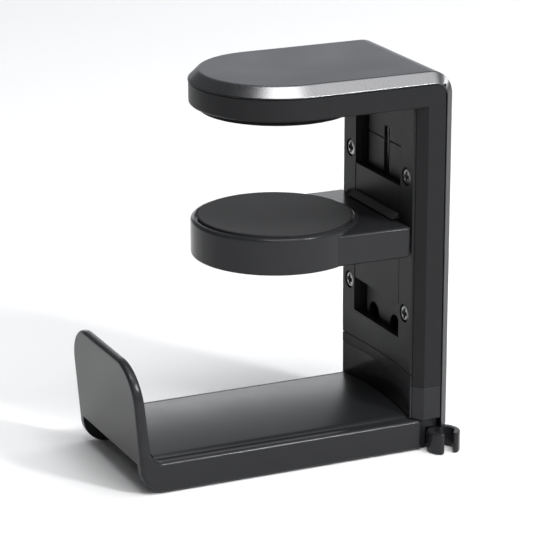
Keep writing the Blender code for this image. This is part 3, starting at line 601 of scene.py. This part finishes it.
def make_cover(name, low, high, node, body):
    """Lofts the cover from station to station: up the back, round the corner, to the nose."""
    section = rounded_section(BEVEL, LIP)
    stations = []

    def across(normal, edge):
        row = []
        for inset, depth, _ in section:
            row.append((edge[0] - normal[0] * depth, HALF - inset, edge[1] - normal[1] * depth))
        row.append((edge[0], HALF - section[-1][0] - 0.01, edge[1]))
        stations.append(row)

    steps = 12
    for i in range(steps + 1):
        across((1, 0), (BACK, low + (min(high, HEIGHT - CORNER) - low) * i / steps))
    if high > HEIGHT - CORNER:
        turns = 20
        for i in range(1, turns + 1):
            turn = math.radians(90 * i / turns)
            normal = (math.cos(turn), math.sin(turn))
            edge = (BACK - CORNER + CORNER * normal[0], HEIGHT - CORNER + CORNER * normal[1])
            across(normal, edge)
        for i in range(1, 8):
            across((0, 1), (BACK - CORNER + (NOSE - BACK + CORNER) * i / 8, HEIGHT))
        turns = 64
        for i in range(turns + 1):
            turn = math.radians(90 + 90 * i / turns)
            cx, sy = math.cos(turn), max(math.sin(turn), 0.0)
            row = [
                (NOSE + (HALF - inset) * cx, (HALF - inset) * sy, HEIGHT - depth)
                for inset, depth, _ in section
            ]
            last = HALF - section[-1][0] - 0.01
            row.append((NOSE + last * cx, last * sy, HEIGHT))
            stations.append(row)
    work = bmesh.new()
    rings = []
    for row in stations:
        left = [work.verts.new(Vector(p) * MM) for p in row]
        right = [work.verts.new(Vector((x, -y, z)) * MM) for x, y, z in reversed(row)]
        rings.append(left + right)
    width = len(section) + 1
    bright = [flag for _, _, flag in section] + [False]
    for first, second in zip(rings, rings[1:]):
        for i in range(2 * width):
            j = (i + 1) % (2 * width)
            face = work.faces.new((first[i], first[j], second[j], second[i]))
            k = i if i < width else 2 * width - 1 - j
            face.material_index = 1 if 0 <= k < width and bright[k] else 0
    work.faces.new(rings[0])
    bmesh.ops.remove_doubles(work, verts=work.verts, dist=1e-6)
    bmesh.ops.dissolve_degenerate(work, edges=work.edges, dist=1e-6)
    if high <= HEIGHT - CORNER:
        bmesh.ops.holes_fill(work, edges=work.edges)
    bmesh.ops.recalc_face_normals(work, faces=work.faces)
    cover = new_object(name, work)
    for _ in range(2):
        cover.data.materials.append(METAL_FACE)
    place(smooth(cover, 50), body, (METAL_FACE, METAL_EDGE), "satin_aluminium", node)


make_cover("cover_skin", SEAM_HIGH, HEIGHT, "top_back_cover", "column")
make_cover("foot_cover_skin", FOOT_COVER_LOW, SEAM_LOW, "foot_back_cover", "hook")

# ---------------------------------------------------------------- upper jaw and column


def make_upper_jaw():
    jaw = prism("upper_jaw_shell", d_outline(FRAME_HALF, NOSE, FRAME_BACK), JAW_Z, FRAME_TOP)
    round_edges(clean(jaw), 1.0, 5, chosen=lambda p: 1.0 if p.z < JAW_Z + 0.1 and p.x < 3 else 0.15)
    recess = plug(PAD_RADIUS + PAD_CLEARANCE, 116, UPPER_PAD_HIGH + PAD_CLEARANCE)
    cut(jaw, lathe("recess", recess, (NOSE, 0, 0)))
    width = (-CHANNEL_HALF, CHANNEL_HALF)
    cut(jaw, box("carriage room", (-7.3, 2.6), width, (JAW_Z - 1, CHANNEL_HIGH + 0.2)))
    place(smooth(jaw), "column", BODY, "black_plastic", "frame_body")


def make_column():
    column = prism("column_shell", column_outline(), SEAM_HIGH, JAW_Z + 1)
    half = RECESS_HALF - 0.05
    width = (-CHANNEL_HALF, CHANNEL_HALF)
    height = (CHANNEL_LOW, CHANNEL_HIGH)
    cut(column, box("recess", (-8, -4.35), (-half, half), (26.1, JAW_Z + 2)))
    cut(column, box("heel", (-6.95, -3.6), (-23.3, 23.3), (26.1, CHANNEL_LOW)))
    cut(column, box("channel", (-6, 1.5), width, height))
    cut(column, box("deep", (0, 2.6), (-14, 14), height))
    for side in (-1, 1):
        way = plug(ROD_WAY_RADIUS, -8, 4)
        cut(column, lathe("rod way", way, (ROD_X, side * ROD_Y, CHANNEL_LOW), 32))
    cut(column, scoop_tool(21.5, 27.2))
    clean(column)
    round_edges(column, 0.35, 3, chosen=lambda p: 1.0 if abs(p.y) > 25.6 or p.z < 27 else 0.5)
    place(smooth(column), "column", BODY, "black_plastic", "frame_body")


def make_front_panel():
    height = (PANEL_LOW, JAW_Z - 0.3)
    panel = box("panel_shell", (FRONT, PANEL_BACK), (-PANEL_HALF, PANEL_HALF), height)
    opening = (WINDOW_FLOOR, JAW_Z + 1)
    cut(panel, box("window", (-9, 0), (-WINDOW_HALF, WINDOW_HALF), opening))
    for side in (-1, 1):
        for screw_z in PANEL_SCREW_HEIGHTS:
            seat = stepped_plug(SCREW_RADIUS + 0.3, 1.6, -1, 1.5, 4)
            cut(panel, lathe("seat", seat, (FRONT, side * PANEL_SCREW_Y, screw_z), 48, "X"))
    cut(panel, scoop_tool(25.2, SCOOP_TOP))
    round_edges(clean(panel), 0.25, 2)
    place(smooth(panel), "column", BODY, "satin_black_plastic", "front_panel")


def make_pad(name, low, high, centre_x, body, node, faces_up, made=RUBBER):
    """A round friction pad with a slightly crowned face and a rounded rim."""
    radius, edge = PAD_RADIUS, 0.4
    face = [(0, high), (radius * 0.5, high - 0.02), (radius - edge, high - 0.06)]
    rim = []
    for i in range(1, 7):
        turn = math.radians(15 * i)
        across, up = edge * math.sin(turn), edge * math.cos(turn)
        rim.append((radius - edge + across, high - 0.06 - edge + up))
    profile = [(0, low), (radius - 0.1, low), (radius, low + 0.1), *reversed(rim), *reversed(face)]
    if not faces_up:
        profile = [(r, low + high - z) for r, z in reversed(profile)]
    pad = lathe(name, profile, (centre_x, 0, 0), 128)
    return place(smooth(pad), body, made, "black_rubber", node)


BOX_FACES = (
    (0, 1, 2, 3),
    (4, 5, 6, 7),
    (0, 1, 5, 4),
    (1, 2, 6, 5),
    (2, 3, 7, 6),
    (3, 0, 4, 7),
)
PAN_HEAD = [
    (0, 0.0),
    (1.9, 0.02),
    (2.35, 0.12),
    (2.65, 0.34),
    (SCREW_RADIUS, 0.62),
    (SCREW_RADIUS, 1.15),
    (1.0, 1.15),
    (1.0, 6.0),
    (0, 6.2),
]
CROSS_LONG, CROSS_THIN, CROSS_DEPTH = SCREW_RADIUS * 0.66, SCREW_RADIUS * 0.27, 0.9
CROSS_MOUTH, CROSS_FLOOR = (-0.3, 1.12), (CROSS_DEPTH, 0.55)  # depth, and share of the size


def make_phillips(name, centre):
    """A pan head with a bright chamfered rim and a tapered cross recess, whose faces are painted
    dark as shade.
    """
    head = lathe(name, PAN_HEAD, centre, 64, "X")
    for made in (STEEL, BLACK_STEEL):
        head.data.materials.append(made)
    x, y, z = centre
    long, thin = CROSS_LONG, CROSS_THIN
    for turn in (0, math.pi / 2):
        work = bmesh.new()
        corners = []
        for depth, share in (CROSS_MOUTH, CROSS_FLOOR):
            for u, v in ((-long, -thin), (long, -thin), (long, thin), (-long, thin)):
                a, b = u * share, v * share
                a, b = (
                    a * math.cos(turn) - b * math.sin(turn),
                    a * math.sin(turn) + b * math.cos(turn),
                )
                corners.append(work.verts.new(Vector((x + depth, y + a, z + b)) * MM))
        for face in BOX_FACES:
            work.faces.new([corners[i] for i in face])
        bmesh.ops.recalc_face_normals(work, faces=work.faces)
        cut(head, new_object("cross", work))
    smooth(head)
    # The faces inside the cross recess take black steel: painted shade for the recess, on a head
    # that is otherwise all one steel.
    for face in head.data.polygons:
        across = Vector((0, face.center.y, face.center.z)) / MM - Vector((0, y, z))
        inside = across.length < 0.7 * SCREW_RADIUS and face.center.x / MM > x + 0.04
        face.material_index = int(inside)
    return head


make_upper_jaw()
make_column()
make_front_panel()
# The upper pad is drawn in the darker rubber, which is painted shade.
make_pad(
    "upper_pad_skin",
    UPPER_PAD_LOW,
    UPPER_PAD_HIGH,
    NOSE,
    "column",
    "upper_jaw_pad",
    False,
    SHADE_DARKENED_PAD_RUBBER,
)
number = 0
for side in (-1, 1):
    for height in PANEL_SCREW_HEIGHTS:
        number += 1
        centre = (FRONT + 0.15, side * PANEL_SCREW_Y, height)
        screw = make_phillips(f"panel_screw_head_{number}", centre)
        place(screw, "column", (STEEL, BLACK_STEEL), "bright_steel", f"panel_screw_{number}")

# ---------------------------------------------------------------- springs


def make_spring(name, side, node):
    """A fine helix that runs between the column's floor and the moving shoe."""
    steps = 36
    count = SPRING_TURNS * steps
    length = SPRING_HIGH - SPRING_LOW
    curve = bpy.data.curves.new(name, "CURVE")
    curve.dimensions = "3D"
    curve.bevel_depth = WIRE_RADIUS * MM
    curve.bevel_resolution = 3
    curve.use_fill_caps = True
    spline = curve.splines.new("POLY")
    spline.points.add(count)
    for i, point in enumerate(spline.points):
        turn = 2 * math.pi * i / steps
        x = ROD_X + COIL_RADIUS * math.cos(turn)
        y = side * (ROD_Y + COIL_RADIUS * math.sin(turn))
        point.co = (x * MM, y * MM, (SPRING_LOW + length * i / count) * MM, 1)
    guide = bpy.data.objects.new(name, curve)
    scene.collection.objects.link(guide)
    bpy.context.view_layer.update()
    evaluated = guide.evaluated_get(bpy.context.evaluated_depsgraph_get())
    mesh = bpy.data.meshes.new_from_object(evaluated)
    bpy.data.objects.remove(guide)
    spring = bpy.data.objects.new(name, mesh)
    scene.collection.objects.link(spring)
    spring.data.shade_smooth()
    spring.data.materials.clear()
    spring.data.materials.append(BLACK_STEEL)
    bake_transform(spring)
    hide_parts(node)


make_spring("left_spring_coil", 1, "left_spring")
make_spring("right_spring_coil", -1, "right_spring")

# ---------------------------------------------------------------- lower jaw


def make_jaw():
    low, rim, top, bottom = JAW_LOW, JAW_RIM, JAW_TOP_EDGE, JAW_BOTTOM_EDGE
    turns = [math.radians(15 * i) for i in range(7)]
    crown = [
        (JAW_RADIUS - top + top * math.cos(a), rim - top + top * math.sin(a)) for a in turns
    ]
    heel = [
        (JAW_RADIUS - bottom + bottom * math.sin(a), low + bottom - bottom * math.cos(a))
        for a in turns
    ]
    groove = [
        (GROOVE_RADIUS + 0.2, rim),
        (GROOVE_RADIUS, rim - 0.2),
        (GROOVE_RADIUS, JAW_FLOOR),
        (0, JAW_FLOOR),
    ]
    centre = (JAW_CENTRE, 0, 0)
    jaw = lathe("jaw_shell", [(0, low), *heel, *crown, *groove], centre, 144)
    arm = box("arm", (JAW_CENTRE, ARM_BACK), (-ARM_HALF, ARM_HALF), (low + 0.001, ARM_TOP))
    round_edges(arm, ARM_EDGE, 6, chosen=lambda p: 1.0 if p.x > JAW_CENTRE + 1 else 0)
    boolean(jaw, "UNION", arm)
    cut(jaw, lathe("pad way", plug(GROOVE_RADIUS, JAW_FLOOR, 85), centre, 144))
    place(smooth(clean(jaw, 0.1), 35), "sliding_jaw", SATIN, "satin_black_plastic", "jaw_arm")


def make_bumper():
    profile = [(-9.9, 78.45), (ARM_BACK, 78.45), (ARM_BACK, 80.5), (-7.75, 80.5), (-9.9, 78.8)]
    bumper = prism("bumper_skin", profile, -CARRIAGE_HALF, CARRIAGE_HALF, "XZ")
    round_edges(bumper, 0.18, 3)
    place(smooth(bumper), "sliding_jaw", RUBBER, "black_rubber", "desk_edge_bumper")


def make_carriage():
    width = (-CARRIAGE_HALF, CARRIAGE_HALF)
    plate = box("carriage_shell", (-6.9, PANEL_BACK), width, (48.65, 89.75))
    boolean(plate, "UNION", box("tongue", (-5.65, -2.4), (-1.65, 1.65), (62, 71.4)))
    round_edges(clean(plate), 0.3, 3)
    place(smooth(plate), "sliding_jaw", BODY, "black_plastic", "carriage_plate")


make_jaw()
make_pad(
    "jaw_pad_skin", LOWER_PAD_LOW, LOWER_PAD_HIGH, JAW_CENTRE, "sliding_jaw", "jaw_pad", True
)
make_bumper()
make_carriage()

# ---------------------------------------------------------------- hook


def make_foot():
    foot = prism("foot_shell", column_outline(), FOOT_LOW, SEAM_LOW)
    cut(foot, lathe("bolt way", plug(BOLT_WAY_RADIUS, 5, 25), (0, 0, 0), 32))
    cut(foot, scoop_tool(9.5, 23.5))
    round_edges(clean(foot), 0.3, 3)
    place(smooth(foot), "hook", SATIN, "satin_black_plastic", "foot_block")


def hook_profile():
    """The side view of the tray and its end plate, which leans outwards."""
    heel = (END_X + HEEL_RADIUS, HEEL_RADIUS)
    fillet = (END_X + END_THICK + FILLET_RADIUS, RIM_Z + FILLET_RADIUS)
    end = (TRAY_END - TRAY_END_RADIUS, RIM_Z - TRAY_END_RADIUS)
    top_x = END_X - (END_TOP - RIM_Z) * END_LEAN
    return [
        (TRAY_END, 0),
        *arc(heel, HEEL_RADIUS, 270, 180, 20),
        (top_x, END_TOP),
        (top_x + END_THICK, END_TOP),
        *arc(fillet, FILLET_RADIUS, 175, 270, 16),
        *arc(end, TRAY_END_RADIUS, 90, 0, 8),
    ]


def make_hook():
    hook = prism("hook_shell", hook_profile(), -TRAY_HALF, TRAY_HALF, "XZ")
    r, side = END_CORNER, TRAY_HALF + 0.001
    outline = [
        (-side, -1),
        (side, -1),
        *arc((side - r, END_TOP + 0.001 - r), r, 0, 90, 28),
        *arc((-side + r, END_TOP + 0.001 - r), r, 90, 180, 28),
    ]
    boolean(hook, "INTERSECT", prism("end outline", outline, -120, 20, "YZ"))
    # The outer edges are rounded before the hollow is cut, since its short edges would clamp them.
    round_edges(clean(hook), 1.3, 6, 28)
    inside = TRAY_HALF - RIM_WIDTH
    inner_x = END_X + END_THICK
    ceiling = [(-125, -2), (-9, -2), (-9, 7.6), (-94, 7.6), (inner_x, 10.1), (-125, 10.1)]
    cut(hook, prism("hollow", ceiling, -inside, inside, "XZ"))
    cut(hook, box("seat", (inner_x + 2.2, -6), (-inside, inside), (9.3, 12)))
    clean(hook, 0.1)
    round_edges(hook, 0.25, 2, 60, lambda p: 1.0 if abs(abs(p.y) - inside) < 0.1 else 0.0)
    base = box("base", (FRONT, FRAME_BACK), (-BASE_HALF, BASE_HALF), (0.05, RIM_Z + 0.05))
    round_edges(base, 0.35, 3)
    boolean(hook, "UNION", base)
    boolean(hook, "UNION", box("clip block", (2, 6.6), (-BASE_HALF, BASE_HALF), (0.1, 7)))
    head_seat = stepped_plug(3.5, BOLT_WAY_RADIUS, -1, 6.1, 15)
    cut(hook, lathe("head seat", head_seat, (0, 0, 0), 48))
    for side in (-1, 1):
        way = stepped_plug(2.8, 1.5, -1, 4, 15)
        cut(hook, lathe("screw way", way, (-1.5, side * 15, 0), 40))
    notch = plug(CLIP_NOTCH_RADIUS, -1, CLIP_NOTCH_TOP)
    cut(hook, lathe("clip notch", notch, (CLIP_X, CLIP_Y, 0), 64))
    cut(hook, box("tab slot", (-1.3, 2.75), (-28, -19.7), (-1, CLIP_NOTCH_TOP)))
    place(smooth(clean(hook, 0.1)), "hook", SATIN, "satin_black_plastic", "hook_frame")


SADDLE_EDGE_Z, SADDLE_CROWN = 11.3, 2.0
SADDLE_BASE_Z = 9.6
ROLL_FROM, ROLL_SPAN, ROLL_DROP = 0.965, 0.035, 0.5  # shares of the half width; millimetres


def make_saddle():
    """The crowned rubber seat: a swept crown with rolled long edges."""
    inside = TRAY_HALF - RIM_WIDTH - 0.3
    start, end = END_X + END_THICK + 2.5, ARM_BACK
    count, length = 48, 60
    rows = []
    for i in range(length + 1):
        x = start + (end - start) * i / length
        row = []
        for j in range(count + 1):
            share = j / count * 2 - 1
            z = SADDLE_EDGE_Z + SADDLE_CROWN * (1 - share * share)
            near = max(abs(share) - ROLL_FROM, 0) / ROLL_SPAN
            z -= ROLL_DROP * near * near
            row.append((x, inside * share, z))
        rows.append(row)
    work = bmesh.new()
    top = [[work.verts.new(Vector(p) * MM) for p in row] for row in rows]
    base = []
    for row in rows:
        ends = [(row[k][0], row[k][1], SADDLE_BASE_Z) for k in (0, -1)]
        base.append([work.verts.new(Vector(p) * MM) for p in ends])
    for r in range(length):
        for c in range(count):
            work.faces.new((top[r][c], top[r][c + 1], top[r + 1][c + 1], top[r + 1][c]))
        for k, c in ((0, 0), (1, count)):
            work.faces.new((base[r][k], base[r + 1][k], top[r + 1][c], top[r][c]))
        work.faces.new((base[r][0], base[r][1], base[r + 1][1], base[r + 1][0]))
    for r in (0, length):
        work.faces.new([base[r][0], *top[r], base[r][1]])
    bmesh.ops.recalc_face_normals(work, faces=work.faces)
    saddle = new_object("saddle_skin", work)
    place(smooth(saddle), "hook", SADDLE, "saddle_rubber", "saddle_pad")


def make_clip():
    """The open ring for the cable, with a tab into the foot."""
    x, y, outer, bore = CLIP_X, CLIP_Y, CLIP_OUTER, CLIP_BORE
    middle, tip = (outer + bore) / 2, (outer - bore) / 2
    mouth = math.degrees(math.asin((CLIP_MOUTH / 2 + tip) / middle))
    first, last = 270 + mouth, 630 - mouth

    def tip_points(angle, start, end):
        turn = math.radians(angle)
        centre = (x + middle * math.cos(turn), y + middle * math.sin(turn))
        return arc(centre, tip, start, end, 12)[1:-1]

    outline = [
        *arc((x, y), outer, first, last, 80),
        *tip_points(last, last, last + 180),
        *arc((x, y), bore, last, first, 64),
        *tip_points(first, first + 180, first + 360),
    ]
    clip = prism("clip_shell", outline, 0, CLIP_HEIGHT)
    round_edges(clip, 0.45, 4, 50)
    boolean(clip, "UNION", box("tab", (-1, 2.45), (-26.7, -20), (1.6, 5.8)))
    cut(clip, lathe("tab hole", plug(1.2, 0, 8), (0.7, -22, 0), 32))
    place(smooth(clean(clip, 0.1)), "hook", SATIN, "satin_black_plastic", "cable_clip")


make_foot()
make_hook()
make_saddle()
make_clip()

# ---------------------------------------------------------------- CAD nodes that stay


def dress(node, obj):
    """Gives a kept CAD node its finish and, unless it is the guide plate, small rounded edges."""
    made = CAD_FINISH.get(node, STEEL)
    if not obj.material_slots:
        obj.data.materials.append(made)
    for slot in obj.material_slots:
        slot.material = made
    if node == "guide_plate":
        return
    weld = obj.modifiers.new("weld", "WELD")
    weld.merge_threshold = MERGE_DISTANCE
    flat = obj.modifiers.new("flat", "DECIMATE")
    flat.decimate_type = "DISSOLVE"
    flat.angle_limit = math.radians(1)
    edge = obj.modifiers.new("round", "BEVEL")
    edge.width = 0.12 * MM
    edge.segments = 2
    edge.angle_limit = math.radians(35)
    edge.use_clamp_overlap = True
    shading = obj.modifiers.new("shading", "WEIGHTED_NORMAL")
    shading.keep_sharp = True


for node, obj in NODES.items():
    if not obj.hide_render:
        dress(node, obj)

bpy.context.view_layer.update()
